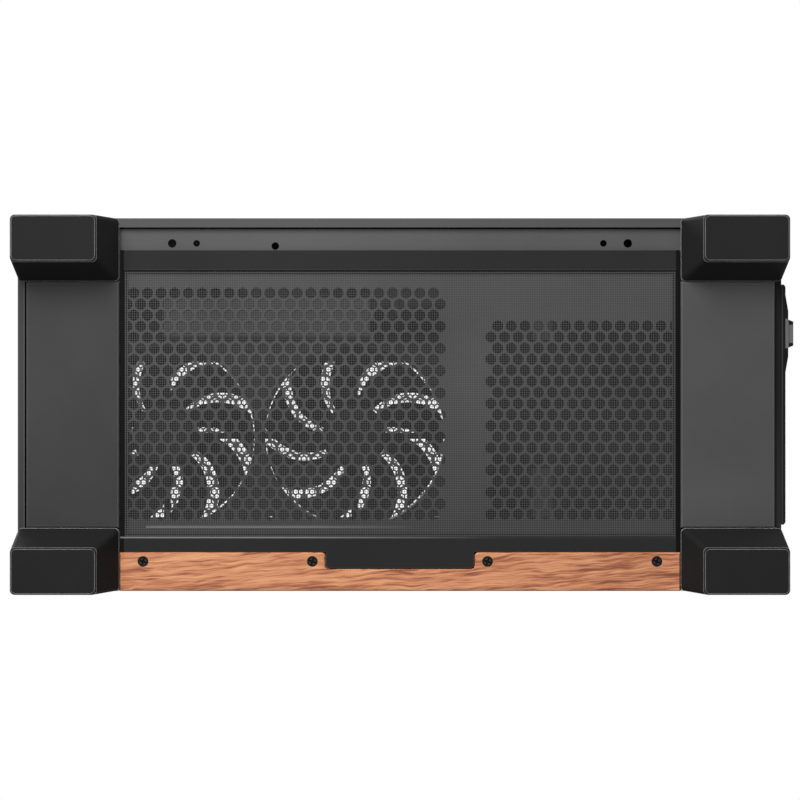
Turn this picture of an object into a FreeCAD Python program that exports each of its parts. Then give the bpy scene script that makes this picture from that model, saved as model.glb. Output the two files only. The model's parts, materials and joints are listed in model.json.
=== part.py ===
import FreeCAD, Part
import math
import os
import Sketcher

doc = FreeCAD.newDocument("tower_case")
sheet = doc.addObject("Spreadsheet::Sheet", "sizes")

# Driving dimensions in millimetres, one spreadsheet cell each
SIZES = {
    "case_width": 234.0,
    "case_depth": 480.0,
    "case_height": 500.0,
    "steel": 1.0,
    "fit_gap": 0.3,
    "panel_depth": 5.7,
    "panel_gap": 0.8,
    "seam": 0.5,
    "stud_radius": 3.0,
    "stud_taper": 1.0,
    "stud_point": 1.5,
    "stud_inset": 60.0,
    "stud_rise": 9.0,
    "stud_drop": 22.0,
    "glass_stud_length": 7.5,
    "side_stud_length": 12.0,
    "front_stud_length": 8.0,
    "front_stud_inset": 12.0,
    "front_stud_drop": 40.0,
    "top_stud_inset_x": 11.0,
    "top_stud_inset_y": 24.0,
    "top_stud_shoulder": 4.0,
    "top_stud_length": 15.5,
    "foot_height": 28.0,
    "foot_length": 63.7,
    "foot_width": 39.5,
    "foot_draft": 10.6,
    "foot_round": 3.0,
    "foot_edge": 0.8,
    "base_depth": 4.0,
    "base_wall": 2.0,
    "base_bevel": 0.8,
    "rear_cover_inset": 4.7,
    "wood_width": 24.2,
    "wood_height": 22.0,
    "wood_bevel": 0.8,
    "notch_height": 5.0,
    "notch_gap": 0.6,
    "wood_screw_inset": 5.7,
    "wood_screw_near": 55.0,
    "wood_screw_end": 15.0,
    "screw_head": 3.3,
    "screw_shank": 1.7,
    "screw_gap": 0.15,
    "screw_past": 2.5,
    "screw_tip": 1.0,
    "filter_end": 0.6,
    "filter_side": 13.5,
    "filter_bar_right": 12.5,
    "filter_bar_left": 9.3,
    "filter_bevel": 0.8,
    "filter_rim": 2.4,
    "filter_thickness": 3.1,
    "mesh_rise": 1.0,
    "mesh_ledge": 2.0,
    "mesh_thickness": 0.8,
    "mesh_bar": 4.0,
    "tab_length": 92.8,
    "tab_reach": 10.4,
    "tab_round": 2.9,
    "vent_pitch": 19.0,
    "vent_web": 3.6,
    "vent_left_inset": 19.9,
    "vent_right_inset": 24.0,
    "vent_end": 3.3,
    "vent_back": 28.0,
    "psu_vent_front": 54.0,
    "psu_vent_end": 3.7,
    "psu_vent_step": 20.0,
    "flange_inset": 9.0,
    "flange_mid_inset": 10.7,
    "flange_far": 143.4,
    "flange_near": 128.0,
    "flange_mid": 78.5,
    "flange_hole_large": 2.7,
    "flange_hole_small": 2.1,
    "flange_hole_mid": 2.4,
    "fan_size": 120.0,
    "fan_depth": 25.0,
    "fan_rim": 2.5,
    "fan_corner": 6.0,
    "fan_hole_inset": 7.5,
    "fan_hole": 2.15,
    "fan_side_gap": 1.0,
    "fan_front_gap": 31.0,
    "fan_hub": 20.0,
    "fan_strut": 4.0,
    "fan_strut_lap": 1.0,
    "fan_shaft": 2.0,
    "shaft_length": 3.5,
    "shaft_gap": 0.1,
    "hub_rise": 2.0,
    "hub_edge": 1.5,
    "blade_gap": 1.2,
    "blade_half": 1.0,
    "blade_rise": 5.0,
    "blade_drop": 3.0,
    "sill_flange": 10.3,
    "sill_foot": 6.0,
    "sill_lip": 19.0,
    "front_depth": 4.2,
    "front_rim": 14.0,
    "front_mesh_inset": 1.5,
    "front_open_side": 40.5,
    "front_open_rise": 29.0,
    "front_open_drop": 20.0,
    "deck_drop": 10.0,
    "deck_flange": 25.0,
    "deck_side": 12.5,
    "deck_front_inset": 14.0,
    "deck_back_inset": 90.0,
    "deck_console_gap": 15.0,
    "top_skirt": 6.0,
    "grille_lap": 3.0,
    "grille_side": 5.0,
    "grille_front": 5.0,
    "grille_back": 14.0,
    "grille_bar": 4.0,
    "tray_room": 37.0,
    "tray_console_gap": 6.0,
    "cooler_inset": 40.0,
    "cooler_size": 120.0,
    "cooler_rise": 165.0,
    "cable_inset": 262.0,
    "cable_width": 30.0,
    "cable_height": 100.0,
    "cable_low_rise": 25.0,
    "cable_high_rise": 165.0,
    "grommet_lip": 3.0,
    "grommet_face": 2.0,
    "grommet_back": 1.5,
    "shroud_height": 97.0,
    "shroud_length": 200.0,
    "shroud_inset": 7.5,
    "board_height": 305.0,
    "board_inset": 14.2,
    "board_hole_drop": 6.35,
    "board_near_row": 154.9,
    "board_far_row": 227.33,
    "board_middle_line": 157.48,
    "board_low_line": 281.94,
    "standoff_height": 6.5,
    "standoff_radius": 3.0,
    "standoff_hole": 1.4,
    "slot_rise": 2.0,
    "slot_pitch": 20.32,
    "slot_height": 14.0,
    "slot_inset": 13.0,
    "slot_width": 105.0,
    "slot_screw_step": 7.0,
    "cover_height": 18.4,
    "cover_end": 5.0,
    "cover_lap": 2.0,
    "thumb_radius": 4.0,
    "thumb_height": 4.8,
    "thumb_edge": 0.8,
    "thumb_shank": 4.0,
    "io_inset": 50.0,
    "io_width": 44.45,
    "io_rise": 141.0,
    "io_height": 158.75,
    "rear_fan_shift": 1.75,
    "rear_fan_rise": 230.0,
    "psu_half": 62.0,
    "psu_rise": 13.0,
    "psu_height": 81.0,
    "psu_hole_half": 69.0,
    "psu_hole_rise": 16.0,
    "psu_hole_span": 64.0,
    "psu_hole_step": 10.0,
    "psu_hole": 1.9,
    "pad_x": 56.0,
    "pad_front_inset": 150.0,
    "pad_back_inset": 30.0,
    "pad_length": 30.0,
    "pad_width": 12.0,
    "pad_height": 10.0,
    "cage_fan_gap": 3.0,
    "cage_width": 24.0,
    "cage_front_inset": 91.0,
    "cage_length": 130.0,
    "cage_height": 77.0,
    "sled_gap": 0.4,
    "sled_end": 1.0,
    "sled_wall": 2.0,
    "sled_height": 84.0,
    "sled_handle": 8.0,
    "console_inset": 43.0,
    "console_width": 48.0,
    "console_front_inset": 16.0,
    "console_length": 106.0,
    "console_rim": 4.0,
    "console_proud": 8.8,
    "console_drop": 17.0,
    "console_floor": 3.0,
    "console_gap": 0.6,
    "power_step": 16.0,
    "power_radius": 7.7,
    "reset_step": 32.0,
    "reset_radius": 2.7,
    "key_travel": 1.5,
    "key_clear": 1.0,
    "key_round": 0.6,
    "usb_front_step": 49.0,
    "usb_rear_step": 67.0,
    "usb_thin": 6.4,
    "usb_wide": 14.4,
    "usb_c_step": 83.0,
    "usb_c_thin": 3.6,
    "usb_c_wide": 9.6,
    "port_wall": 0.4,
    "port_floor": 1.0,
    "port_tongue_drop": 2.0,
    "jack_step": 95.0,
    "jack_radius": 3.5,
    "jack_bore": 1.8,
    "glass_thickness": 4.0,
    "rail_depth": 1.7,
    "rail_half": 8.0,
    "rail_top": 12.0,
    "rail_inset": 10.0,
    "retainer_rise": 2.0,
    "retainer_height": 14.0,
    "retainer_half": 75.5,
    "retainer_edge": 1.5,
    "retainer_side": 1.2,
    "retainer_depth": 2.3,
    "grip_x": 44.6,
    "grip_foot": 24.35,
    "grip_step": 14.15,
    "grip_step_depth": 4.05,
    "grip_neck": 8.85,
    "grip_top": 7.55,
    "grip_depth": 7.2,
}

# Counts, angles and shares, which are not lengths
BLADE_COUNT = 9
BLADE_SWEEP_ANGLE = 30.0
BLADE_WIDTH_ANGLE = 30.0
BLADE_BEND = 0.36
SLOT_COUNT = 7
REAR_VENT_ROWS = 9
FILTER_COLUMNS = 4
FILTER_ROWS = 28
GRILLE_COLUMNS = 2
GRILLE_ROWS = 38
FRONT_ROWS = 40
BOARD_SHARE = 34 / 54
TONGUE_THIN_SHARE = 1 / 7
TONGUE_WIDE_SHARE = 1 / 3
EITHER_SIDE = (-1, 1)
NEAR = 0.01

for row, (alias, amount) in enumerate(SIZES.items(), start=1):
    sheet.set(f"A{row}", alias)
    sheet.set(f"B{row}", str(amount))
    sheet.setAlias(f"B{row}", alias)
doc.recompute()


class Size:
    """A length that carries the cell expression giving it and its present value."""

    def __init__(self, text, value):
        self.text = text
        self.value = value

    def __float__(self):
        return self.value

    def __neg__(self):
        return Size(f"(-{self.text})", -self.value)

    def __add__(self, other):
        return join(self, "+", other, float(self) + float(other))

    def __radd__(self, other):
        return join(other, "+", self, float(other) + float(self))

    def __sub__(self, other):
        return join(self, "-", other, float(self) - float(other))

    def __rsub__(self, other):
        return join(other, "-", self, float(other) - float(self))

    def __mul__(self, other):
        return join(self, "*", other, float(self) * float(other))

    def __rmul__(self, other):
        return join(other, "*", self, float(other) * float(self))

    def __truediv__(self, other):
        return join(self, "/", other, float(self) / float(other))


def text_of(amount):
    return amount.text if isinstance(amount, Size) else f"({float(amount):.6f})"


def join(left, sign, right, value):
    return Size(f"({text_of(left)} {sign} {text_of(right)})", value)


def bind(owner, name, amount):
    owner.setExpression(name, text_of(amount))


s = {alias: Size(f"sizes.{alias}", float(sheet.get(alias))) for alias in SIZES}
pieces = []

# Levels and planes shared by several pieces
half_x = s["case_width"] / 2
half_y = s["case_depth"] / 2
steel = s["steel"]
gap = s["fit_gap"]
chassis_x = half_x - s["panel_depth"] - s["panel_gap"]
base_low = s["foot_height"]
pan_low = base_low + s["base_depth"]
pan_top = pan_low + steel
wood_inner = half_x - s["wood_width"]
pan_left = s["seam"] - wood_inner
ledge_low = base_low + s["wood_height"]
ledge_top = ledge_low + steel
deck_low = s["case_height"] - s["deck_drop"]
deck_top = deck_low + steel
skirt_low = s["case_height"] - s["top_skirt"]
panel_low = base_low + s["seam"]
panel_high = skirt_low - s["seam"]
front_outer = s["front_depth"] + s["panel_gap"] - half_y
front_inner = front_outer + steel
rear_inner = half_y - steel
foot_inner_x = half_x - s["foot_width"]
foot_inner_y = half_y - s["foot_length"]
shroud_low = pan_top + s["shroud_height"]
shroud_top = shroud_low + steel
tray_x = half_x - s["tray_room"]

# Panel studs and the holes that take them
stud_hole = s["stud_radius"] + gap
stud_low = ledge_top + s["stud_rise"]
stud_high = s["case_height"] - s["stud_drop"]
side_studs = [s["stud_inset"] - half_y, half_y - s["stud_inset"]]
front_stud_x = half_x - s["front_stud_inset"]
front_stud_z = [stud_low, s["case_height"] / 2, s["case_height"] - s["front_stud_drop"]]
top_stud_x = half_x - s["top_stud_inset_x"]
top_stud_y = half_y - s["top_stud_inset_y"]
top_studs = [(a * top_stud_x, b * top_stud_y) for a in EITHER_SIDE for b in EITHER_SIDE]

# Motherboard zone, shared out between the shroud and the deck
board_low = shroud_top + BOARD_SHARE * (deck_low - shroud_top - s["board_height"])
board_hole_y = half_y - s["board_inset"]
board_hole_z = board_low + s["board_height"] - s["board_hole_drop"]
slot_right = tray_x - s["slot_inset"]
slot_left = slot_right - s["slot_width"]
slot_screw_x = slot_left - s["slot_screw_step"]
slot_rows = [board_low + s["slot_rise"] + s["slot_pitch"] * index for index in range(SLOT_COUNT)]
io_left = tray_x - s["io_inset"]
io_low = board_low + s["io_rise"]
rear_fan_x = (io_left - chassis_x) / 2 - s["rear_fan_shift"]
rear_fan_z = board_low + s["rear_fan_rise"]

# Floor fans, wood strip screws and filter, all set out from the pan's edges
fan_half = s["fan_size"] / 2
fan_duct = fan_half - s["fan_rim"]
fan_hole_half = fan_half - s["fan_hole_inset"]
fan_x = pan_left + steel + s["sill_flange"] + s["fan_side_gap"] + fan_half
fan_front_y = s["fan_front_gap"] + fan_half - half_y
fan_rows = {"front": fan_front_y, "rear": fan_front_y + s["fan_size"]}
wood_screw_x = -wood_inner - s["wood_screw_inset"]
wood_screw_far = foot_inner_y - s["wood_screw_end"]
wood_rows = [-wood_screw_far, -s["wood_screw_near"], s["wood_screw_near"], wood_screw_far]
filter_half = foot_inner_y - s["filter_end"]
filter_right = chassis_x - s["filter_side"]
bar_left = pan_left + s["filter_bar_left"]
bar_right = filter_right - s["filter_bar_right"]
tab_half = s["tab_length"] / 2
tab_x = pan_left - s["tab_reach"]

# Console in the front right corner of the top
console_half = s["console_width"] / 2
console_mid = half_x - s["console_inset"]
console_x = (console_mid - console_half, console_mid + console_half)
console_front = s["console_front_inset"] - half_y
console_y = (console_front, console_front + s["console_length"])
console_core_x = (console_x[0] + s["console_rim"], console_x[1] - s["console_rim"])
console_core_y = (console_y[0] + s["console_rim"], console_y[1] - s["console_rim"])
console_low = deck_top - s["console_drop"]
console_high = deck_top + s["console_proud"]
console_floor = console_low + s["console_floor"]
deck_x = (s["deck_side"] - chassis_x, console_x[0] - s["deck_console_gap"])
deck_y = (s["deck_front_inset"] - half_y, half_y - s["deck_back_inset"])


def keep(piece):
    pieces.append(piece)
    return piece


def new_body(label):
    owner = doc.addObject("PartDesign::Body", label)
    owner.Label = label
    return keep(owner)


def sketch_on(owner, plane, offset):
    drawing = owner.newObject("Sketcher::SketchObject", owner.Name + "_sketch")
    base = [part for part in owner.Origin.OriginFeatures if part.Role == plane][0]
    drawing.AttachmentSupport = [(base, "")]
    drawing.MapMode = "FlatFace"
    bind(drawing, "AttachmentOffset.Base.z", offset)
    return drawing


def place(drawing, element, point, x, y):
    for kind, amount in (("DistanceX", x), ("DistanceY", y)):
        number = drawing.addConstraint(Sketcher.Constraint(kind, element, point, float(amount)))
        if isinstance(amount, Size):
            bind(drawing, f"Constraints[{number}]", amount)


def outline(drawing, points):
    """A closed run of straight lines with every corner placed from the origin."""
    flat = [vector(x, y, 0) for x, y in points]
    first = drawing.GeometryCount
    count = len(flat)
    for index in range(count):
        line = Part.LineSegment(flat[index], flat[(index + 1) % count])
        drawing.addGeometry(line, False)
    for index in range(count):
        here = first + index
        follow = first + (index + 1) % count
        drawing.addConstraint(Sketcher.Constraint("Coincident", here, 2, follow, 1))
    for index, (x, y) in enumerate(points):
        place(drawing, first + index, 1, x, y)


def circle(drawing, x, y, radius):
    ring = Part.Circle(vector(x, y, 0), vector(0, 0, 1), float(radius))
    element = drawing.addGeometry(ring, False)
    place(drawing, element, 3, x, y)
    number = drawing.addConstraint(Sketcher.Constraint("Radius", element, float(radius)))
    bind(drawing, f"Constraints[{number}]", radius)


def draw(drawing, loops, rounds):
    for points in loops:
        outline(drawing, points)
    for x, y, radius in rounds:
        circle(drawing, x, y, radius)


def slab(owner, plane, low, high, loops, rounds=()):
    """A pad between two levels along the axis square to the plane."""
    offset = -high if plane == "XZ_Plane" else low
    drawing = sketch_on(owner, plane, offset)
    draw(drawing, loops, rounds)
    grown = owner.newObject("PartDesign::Pad", owner.Name + "_pad")
    grown.Profile = drawing
    bind(grown, "Length", high - low)
    drawing.Visibility = False
    doc.recompute()
    return grown


def cut_up(owner, low, depth, loops, rounds=()):
    """A pocket that opens at the low level and reaches upward."""
    drawing = sketch_on(owner, "XY_Plane", low)
    draw(drawing, loops, rounds)
    hollow = owner.newObject("PartDesign::Pocket", owner.Name + "_pocket")
    hollow.Profile = drawing
    bind(hollow, "Length", depth)
    hollow.Reversed = True
    doc.recompute()
    return hollow


def loop(across, along):
    return [(across[0], along[0]), (across[1], along[0]), (across[1], along[1]), (across[0], along[1])]


def grown_loop(across, along, amount):
    return loop((across[0] - amount, across[1] + amount), (along[0] - amount, along[1] + amount))


def slot_loops(across, along, columns, rows, bar):
    """Evenly spaced oblong openings with bars of one width round each."""
    wide = (across[1] - across[0] - (columns + 1) * bar) / columns
    tall = (along[1] - along[0] - (rows + 1) * bar) / rows
    loops = []
    for column in range(columns):
        left = across[0] + bar + column * (wide + bar)
        for row in range(rows):
            front = along[0] + bar + row * (tall + bar)
            loops.append(loop((left, left + wide), (front, front + tall)))
    return loops


def dress(owner, kind, size, wanted):
    """A fillet or chamfer on every edge of the body that the test picks."""
    base = owner.Tip
    names = [f"Edge{n}" for n, edge in enumerate(base.Shape.Edges, start=1) if wanted(edge)]
    worked = owner.newObject(f"PartDesign::{kind}", f"{owner.Name}_{kind.lower()}")
    worked.Base = (base, names)
    bind(worked, "Radius" if kind == "Fillet" else "Size", size)
    doc.recompute()
    return worked


def upright(edge):
    ends = [vertex.Point for vertex in edge.Vertexes]
    return len(ends) == 2 and abs(ends[0].z - ends[1].z) > edge.Length - NEAR


def at_level(level):
    def wanted(edge):
        return abs(edge.BoundBox.ZMin - float(level)) < NEAR and abs(edge.BoundBox.ZMax - float(level)) < NEAR
    return wanted


def at_x(edge, x):
    return abs(edge.BoundBox.XMin - float(x)) < NEAR and abs(edge.BoundBox.XMax - float(x)) < NEAR


def feature(label, shape):
    piece = doc.addObject("Part::Feature", label)
    piece.Label = label
    piece.Shape = shape
    return keep(piece)


def vector(x, y, z):
    return FreeCAD.Vector(float(x), float(y), float(z))


def turned(profile, base, axis):
    """A solid of revolution from (radius, height) pairs, set at a point along an axis."""
    points = [vector(radius, 0, height) for radius, height in profile]
    face = Part.Face(Part.makePolygon(points + points[:1]))
    solid = face.revolve(vector(0, 0, 0), vector(0, 0, 1), 360)
    turn = FreeCAD.Rotation(vector(0, 0, 1), vector(*axis))
    solid.Placement = FreeCAD.Placement(vector(*base), turn)
    return solid


def turned_group(label, profile, places, axis):
    feature(label, Part.makeCompound([turned(profile, spot, axis) for spot in places]))


def box_shape(x, y, z):
    return Part.makeBox(float(x[1] - x[0]), float(y[1] - y[0]), float(z[1] - z[0]), vector(x[0], y[0], z[0]))


def ring_wire(points):
    corners = [vector(*point) for point in points]
    return Part.makePolygon(corners + corners[:1])


def lying(points, level):
    return ring_wire([(x, y, level) for x, y in points])


def facing(points, plane):
    return ring_wire([(x, plane, z) for x, z in points])


def pierced(outer, holes, depth):
    """A sheet with many holes: one face with inner wires, pushed through its depth."""
    face = Part.makeFace([outer] + holes, "Part::FaceMakerBullseye")
    return face.extrude(depth)


# Corner feet: tapered block, boss under the pan and, on the glass side, an end cap for the wood
def rounded_wire(x, y, radius, level):
    """A rectangle with rounded corners, drawn anticlockwise at one level."""
    left, right = sorted(x)
    front, back = sorted(y)
    near_x = left + radius
    far_x = right - radius
    near_y = front + radius
    far_y = back - radius
    arcs = []
    centres = ((far_x, near_y), (far_x, far_y), (near_x, far_y), (near_x, near_y))
    for index, (x_mid, y_mid) in enumerate(centres):
        arc = []
        for turn in (-90, -45, 0):
            angle = math.radians(90 * index + turn)
            arc.append(vector(x_mid + radius * math.cos(angle), y_mid + radius * math.sin(angle), level))
        arcs.append(arc)
    edges = []
    for index, arc in enumerate(arcs):
        edges.append(Part.Arc(*arc).toShape())
        edges.append(Part.LineSegment(arc[2], arcs[(index + 1) % 4][0]).toShape())
    return Part.Wire(edges)


def foot(label, side, end):
    draft = float(s["foot_draft"])
    edge = float(s["foot_edge"])
    inner_x = float(foot_inner_x)
    inner_y = float(foot_inner_y)
    outer_x = float(half_x)
    outer_y = float(half_y)
    top = float(base_low)
    rounding = float(s["foot_round"])
    sections = []
    for level, drawn, bevel in ((0.0, draft, edge), (edge, draft * (1 - edge / top), 0.0), (top, 0.0, 0.0)):
        x = (side * (inner_x + drawn + bevel), side * (outer_x - bevel))
        y = (end * (inner_y + drawn + bevel), end * (outer_y - bevel))
        sections.append(rounded_wire(x, y, rounding, level))
    block = Part.makeLoft(sections, True, True)
    reach_y = float(-front_inner - gap)
    boss_x = sorted((side * (inner_x + rounding), side * float(chassis_x if side > 0 else -pan_left)))
    boss_y = sorted((end * (inner_y + rounding), end * reach_y))
    block = block.fuse(box_shape(boss_x, boss_y, (top, float(pan_low))))
    if side < 0:
        cap_y = sorted((end * (inner_y + float(gap)), end * reach_y))
        block = block.fuse(box_shape((-outer_x, -float(wood_inner)), cap_y, (top, float(ledge_low))))
    feature(label, block.Solids[0])


def base_cover(label, along):
    owner = new_body(label)
    across = (gap - foot_inner_x, foot_inner_x - gap)
    wall = s["base_wall"]
    slab(owner, "XY_Plane", base_low, base_low + wall, [loop(across, along)])
    dress(owner, "Chamfer", s["base_bevel"], at_level(base_low))
    slab(owner, "XY_Plane", base_low + wall, pan_low, [loop(across, along), grown_loop(across, along, -wall)])


foot("front_left_foot", -1, -1)
foot("front_right_foot", 1, -1)
foot("rear_left_foot", -1, 1)
foot("rear_right_foot", 1, 1)
base_cover("front_base_cover", (front_outer + gap, -foot_inner_y))
base_cover("rear_base_cover", (foot_inner_y, half_y - s["rear_cover_inset"]))


# Floor pan: flat sheet with two honeycomb vents and five flange holes
def honeycomb(across, along):
    """Hexagonal cells in staggered rows, centred across their field."""
    left, right = float(across[0]), float(across[1])
    front, back = float(along[0]), float(along[1])
    pitch = float(s["vent_pitch"])
    step = pitch * math.sqrt(3) / 2
    radius = (pitch - float(s["vent_web"])) / math.sqrt(3)
    rows = int((right - left - 2 * radius) / step) + 1
    first_x = (left + right - (rows - 1) * step) / 2
    cells = []
    for row in range(rows):
        x = first_x + row * step
        y = front + pitch / 2 + (pitch / 2 if row % 2 else 0.0)
        while y < back - pitch / 2 + NEAR:
            corners = []
            for turn in range(6):
                angle = math.radians(60 * turn)
                corners.append((x + radius * math.cos(angle), y + radius * math.sin(angle)))
            cells.append(lying(corners, pan_low))
            y += pitch
    return cells


def round_wire(x, y, z, radius):
    return Part.Wire(Part.makeCircle(float(radius), vector(x, y, z)))


vent_left = pan_left + s["vent_left_inset"]
vent_right = filter_right - s["vent_right_inset"]
cells = honeycomb((vent_left, vent_right), (s["vent_end"] - foot_inner_y, s["vent_back"]))
psu_vent_y = (s["psu_vent_front"], foot_inner_y - s["psu_vent_end"])
cells += honeycomb((vent_left, vent_right - s["psu_vent_step"]), psu_vent_y)
flange_x = chassis_x - s["flange_inset"]
for end in EITHER_SIDE:
    cells.append(round_wire(flange_x, end * s["flange_far"], pan_low, s["flange_hole_large"]))
    cells.append(round_wire(flange_x, end * s["flange_near"], pan_low, s["flange_hole_small"]))
cells.append(round_wire(chassis_x - s["flange_mid_inset"], -s["flange_mid"], pan_low, s["flange_hole_mid"]))
pan_edge = lying(loop((pan_left, chassis_x), (front_outer, half_y)), pan_low)
feature("floor_pan", pierced(pan_edge, cells, vector(0, 0, steel)))

# Sills: folded rails on the pan that carry the panels
left_sill = new_body("left_sill")
web = pan_left + steel
flange_end = web + s["sill_flange"]
flange_top = pan_top + steel
sill_profile = [(flange_end, pan_top), (pan_left, pan_top), (pan_left, ledge_low), (-chassis_x, ledge_low)]
sill_profile += [(-chassis_x, ledge_top), (web, ledge_top), (web, flange_top), (flange_end, flange_top)]
slab(left_sill, "XZ_Plane", front_inner, rear_inner, [sill_profile])
screw_hole = s["screw_shank"] + s["screw_gap"]
cut_up(left_sill, ledge_low, steel, [], [(wood_screw_x, y, screw_hole) for y in wood_rows])
lip_high = ledge_top + s["sill_lip"]
lip_holes = [(y, stud_low, stud_hole) for y in side_studs]
sill_y = (front_inner, rear_inner)
slab(left_sill, "YZ_Plane", -chassis_x, steel - chassis_x, [loop(sill_y, (ledge_low, lip_high))], lip_holes)
right_sill = new_body("right_sill")
slab(right_sill, "YZ_Plane", chassis_x - steel, chassis_x, [loop(sill_y, (pan_top, lip_high))], lip_holes)
sill_foot_x = (chassis_x - s["sill_foot"], chassis_x)
slab(right_sill, "XY_Plane", pan_top, flange_top, [loop(sill_foot_x, sill_y)])

# Front frame: upright sheet with one large window
front_frame = new_body("front_frame")
sheet_loop = loop((-chassis_x, chassis_x), (pan_top, deck_low))
window_x = chassis_x - s["front_open_side"]
window_z = (pan_top + s["front_open_rise"], deck_low - s["front_open_drop"])
front_holes = [(side * front_stud_x, z, stud_hole) for side in EITHER_SIDE for z in front_stud_z]
window = loop((-window_x, window_x), window_z)
slab(front_frame, "XZ_Plane", front_outer, front_inner, [sheet_loop, window], front_holes)

# Rear panel: openings for power supply, board ports, slots and fan
rear_loops = [sheet_loop]
psu_low = pan_top + s["psu_rise"]
rear_loops.append(loop((-s["psu_half"], s["psu_half"]), (psu_low, psu_low + s["psu_height"])))
rear_loops.append(loop((io_left, io_left + s["io_width"]), (io_low, io_low + s["io_height"])))
for z in slot_rows:
    rear_loops.append(loop((slot_left, slot_right), (z - s["slot_height"] / 2, z + s["slot_height"] / 2)))
vent_radius = fan_duct - s["fan_rim"]
vent_step = 2 * vent_radius / (REAR_VENT_ROWS + 0.2)
vent_half = vent_step / 3
for index in range(REAR_VENT_ROWS):
    rise = (index - (REAR_VENT_ROWS - 1) / 2) * vent_step
    reach = math.sqrt(float(vent_radius) ** 2 - (abs(float(rise)) + float(vent_half)) ** 2)
    middle = rear_fan_z + rise
    vent_span = (middle - vent_half, middle + vent_half)
    rear_loops.append(loop((rear_fan_x - reach, rear_fan_x + reach), vent_span))
rear_rounds = []
for a in EITHER_SIDE:
    for b in EITHER_SIDE:
        rear_rounds.append((rear_fan_x + a * fan_hole_half, rear_fan_z + b * fan_hole_half, s["fan_hole"]))
psu_hole_low = pan_top + s["psu_hole_rise"]
psu_hole_high = psu_hole_low + s["psu_hole_span"]
rear_rounds += [(side * s["psu_hole_half"], psu_hole_low, s["psu_hole"]) for side in EITHER_SIDE]
rear_rounds.append((-s["psu_hole_half"], psu_hole_high, s["psu_hole"]))
rear_rounds.append((s["psu_hole_half"], psu_hole_high + s["psu_hole_step"], s["psu_hole"]))
rear_rounds += [(slot_screw_x, z, screw_hole) for z in slot_rows]
rear_panel = new_body("rear_panel")
slab(rear_panel, "XZ_Plane", rear_inner, half_y, rear_loops, rear_rounds)

# Top frame: deck with a wide opening, a hole for the console and two side flanges
top_frame = new_body("top_frame")
deck_loops = [loop((-chassis_x, chassis_x), (front_outer, half_y)), loop(deck_x, deck_y)]
deck_loops.append(grown_loop(console_core_x, console_core_y, gap))
slab(top_frame, "XY_Plane", deck_low, deck_top, deck_loops, [(x, y, stud_hole) for x, y in top_studs])
flange_loop = loop(sill_y, (deck_low - s["deck_flange"], deck_low))
flange_holes = [(y, stud_high, stud_hole) for y in side_studs]
for low in (-chassis_x, chassis_x - steel):
    slab(top_frame, "YZ_Plane", low, low + steel, [flange_loop], flange_holes)

# Motherboard tray with a cooler cutout and two cable slots
cooler_y = half_y - s["cooler_inset"]
cooler_z = board_low + s["cooler_rise"]
cable_y = half_y - s["cable_inset"]
cable_span = (cable_y - s["cable_width"], cable_y)
cable_slots = {}
for label, rise in (("lower_grommet", s["cable_low_rise"]), ("upper_grommet", s["cable_high_rise"])):
    cable_slots[label] = (board_low + rise, board_low + rise + s["cable_height"])
tray = new_body("motherboard_tray")
tray_loops = [loop((console_y[1] + s["tray_console_gap"], rear_inner), (shroud_top, deck_low))]
tray_loops.append(loop((cooler_y - s["cooler_size"], cooler_y), (cooler_z, cooler_z + s["cooler_size"])))
tray_loops += [loop(cable_span, span) for span in cable_slots.values()]
slab(tray, "YZ_Plane", tray_x, tray_x + steel, tray_loops)

# Rubber grommets: a lip on the board side and a sleeve through each cable slot
lip = s["grommet_lip"]
for label, span in cable_slots.items():
    sleeve = new_body(label)
    inner = grown_loop(cable_span, span, -lip)
    slab(sleeve, "YZ_Plane", tray_x - s["grommet_face"], tray_x, [grown_loop(cable_span, span, lip), inner])
    sleeve_loops = [grown_loop(cable_span, span, -gap), inner]
    slab(sleeve, "YZ_Plane", tray_x, tray_x + steel + s["grommet_back"], sleeve_loops)

# Standoffs: nine threaded pillars in the standard board pattern
pillar = [(s["standoff_hole"], 0), (s["standoff_radius"], 0)]
pillar += [(s["standoff_radius"], s["standoff_height"]), (s["standoff_hole"], s["standoff_height"])]
board_rows = [board_hole_y, board_hole_y - s["board_near_row"], board_hole_y - s["board_far_row"]]
board_lines = [board_hole_z, board_hole_z - s["board_middle_line"], board_hole_z - s["board_low_line"]]
turned_group("standoffs", pillar, [(tray_x, y, z) for y in board_rows for z in board_lines], (-1, 0, 0))

# Power supply shroud and rubber pads
shroud = new_body("psu_shroud")
shroud_left = s["shroud_inset"] - chassis_x
shroud_y = (half_y - s["shroud_length"], rear_inner - steel - gap)
slab(shroud, "XY_Plane", shroud_low, shroud_top, [loop((shroud_left, chassis_x), shroud_y)])
slab(shroud, "YZ_Plane", shroud_left, shroud_left + steel, [loop(shroud_y, (ledge_top, shroud_top))])
pads = []
for side in EITHER_SIDE:
    pad_x = (side * s["pad_x"] - s["pad_length"] / 2, side * s["pad_x"] + s["pad_length"] / 2)
    for inset in (s["pad_front_inset"], s["pad_back_inset"]):
        pad_y = (half_y - inset - s["pad_width"] / 2, half_y - inset + s["pad_width"] / 2)
        pads.append(box_shape(pad_x, pad_y, (pan_top, pan_top + s["pad_height"])))
feature("psu_pads", Part.makeCompound(pads))

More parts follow.
